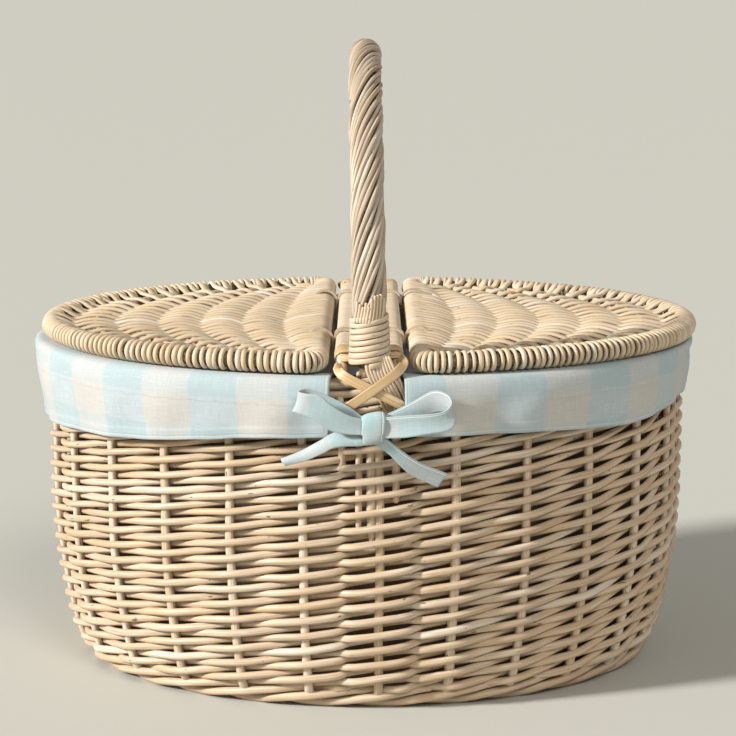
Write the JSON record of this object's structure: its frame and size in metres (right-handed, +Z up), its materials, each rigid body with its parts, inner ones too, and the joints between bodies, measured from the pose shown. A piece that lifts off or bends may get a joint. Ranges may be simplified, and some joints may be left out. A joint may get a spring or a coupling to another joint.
{
  "type": "picnic basket",
  "caption": "Oval woven willow picnic basket with two hinged half lids, a roped bow handle over a fixed bridge, and a tied gingham liner.",
  "frame": {"origin": "middle of the bounding box at its base, on the surface that the basket stands on", "axes": "+X along the long axis of the oval, -Y towards the front bow, +Z up"},
  "size_m": [0.448, 0.361, 0.4144],
  "materials": {
    "woven_willow": "peeled willow weave, lightly limewashed, satin",
    "willow_rod": "peeled round willow rod, satin",
    "willow_skein": "split tan willow skein, satin",
    "gingham_cotton": "aqua and ivory gingham cotton, plain weave, matte"
  },
  "bodies": {
    "basket": {"base_long_sticks": "willow_rod", "base_cross_sticks": "willow_rod", "base_weave": "woven_willow", "foot_wale": "woven_willow", "wall_stakes": "willow_rod", "wall_weave": "woven_willow", "rim_border": "woven_willow", "handle_core": "willow_rod", "handle_roping": "woven_willow", "front_whipping": "woven_willow", "rear_whipping": "woven_willow", "front_packing_rod": "willow_rod", "rear_packing_rod": "willow_rod", "front_cross_binding": "willow_skein", "rear_cross_binding": "willow_skein", "bridge_side_rods": "willow_rod", "bridge_inner_rods": "willow_rod", "bridge_wrap": "woven_willow", "bridge_end_bands": "willow_skein", "left_hinge_tie_front": "willow_skein", "left_hinge_tie_rear": "willow_skein", "right_hinge_tie_front": "willow_skein", "right_hinge_tie_rear": "willow_skein", "liner_bag": "gingham_cotton", "left_cuff": "gingham_cotton", "right_cuff": "gingham_cotton", "front_bow_knot": "gingham_cotton", "front_bow_loops": "gingham_cotton", "front_bow_tails": "gingham_cotton", "rear_bow_knot": "gingham_cotton", "rear_bow_loops": "gingham_cotton", "rear_bow_tails": "gingham_cotton"},
    "lid_left": {"left_lid_hoop": "willow_rod", "left_lid_binding": "woven_willow", "left_lid_ribs": "willow_rod", "left_lid_weave": "woven_willow"},
    "lid_right": {"right_lid_hoop": "willow_rod", "right_lid_binding": "woven_willow", "right_lid_ribs": "willow_rod", "right_lid_weave": "woven_willow"}
  },
  "joints": [
    {"name": "left_lid_hinge", "type": "hinge", "parent": "basket", "child": "lid_left", "pos_m": [-0.031, 0, 0.2264], "axis": [0, 1, 0], "range_deg": [0, 93]},
    {"name": "right_lid_hinge", "type": "hinge", "parent": "basket", "child": "lid_right", "pos_m": [0.031, 0, 0.2264], "axis": [0, -1, 0], "range_deg": [0, 93]}
  ]
}
